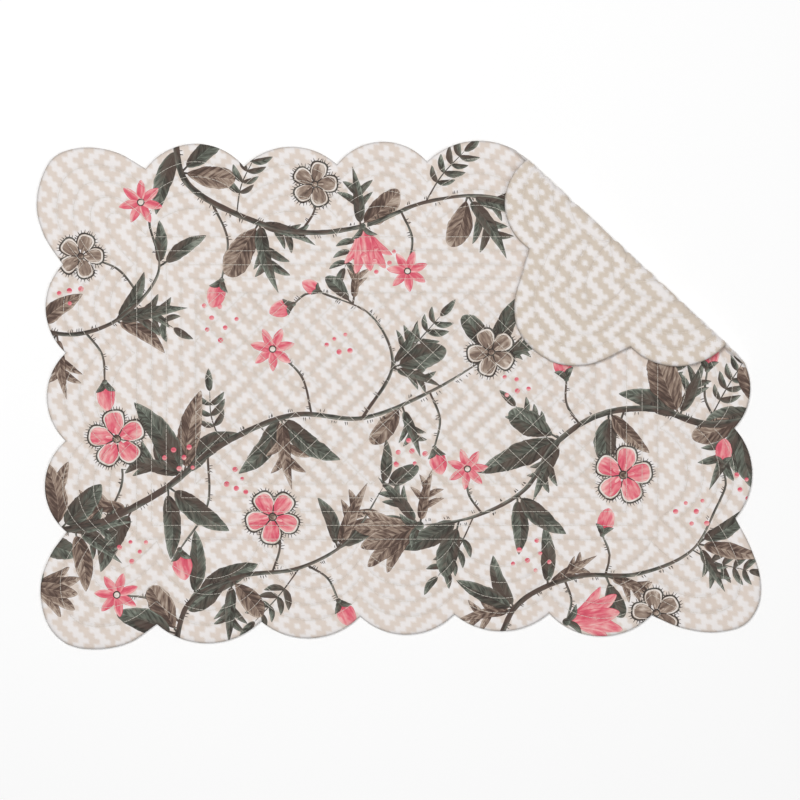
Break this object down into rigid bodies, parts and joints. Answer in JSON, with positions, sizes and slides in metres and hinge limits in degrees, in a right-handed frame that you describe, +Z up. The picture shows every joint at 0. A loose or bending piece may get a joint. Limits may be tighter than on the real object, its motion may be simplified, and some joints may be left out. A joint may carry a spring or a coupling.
{
  "type": "scalloped quilted placemat",
  "caption": "Quilted cotton placemat with a scalloped edge, a printed face and a patterned reverse, lying flat with a corner folded over.",
  "frame": {"origin": "under the middle of the folded mat, on the surface it lies on", "axes": "+X to the right along the long side, +Y towards the far long side, +Z up"},
  "size_m": [0.4834, 0.3392, 0.0095],
  "materials": {
    "face_cloth": "printed cotton, quilted",
    "back_cloth": "printed cotton, quilted"
  },
  "bodies": {
    "root": {"face_panel": "face_cloth", "back_panel": "back_cloth"}
  },
  "joints": []
}
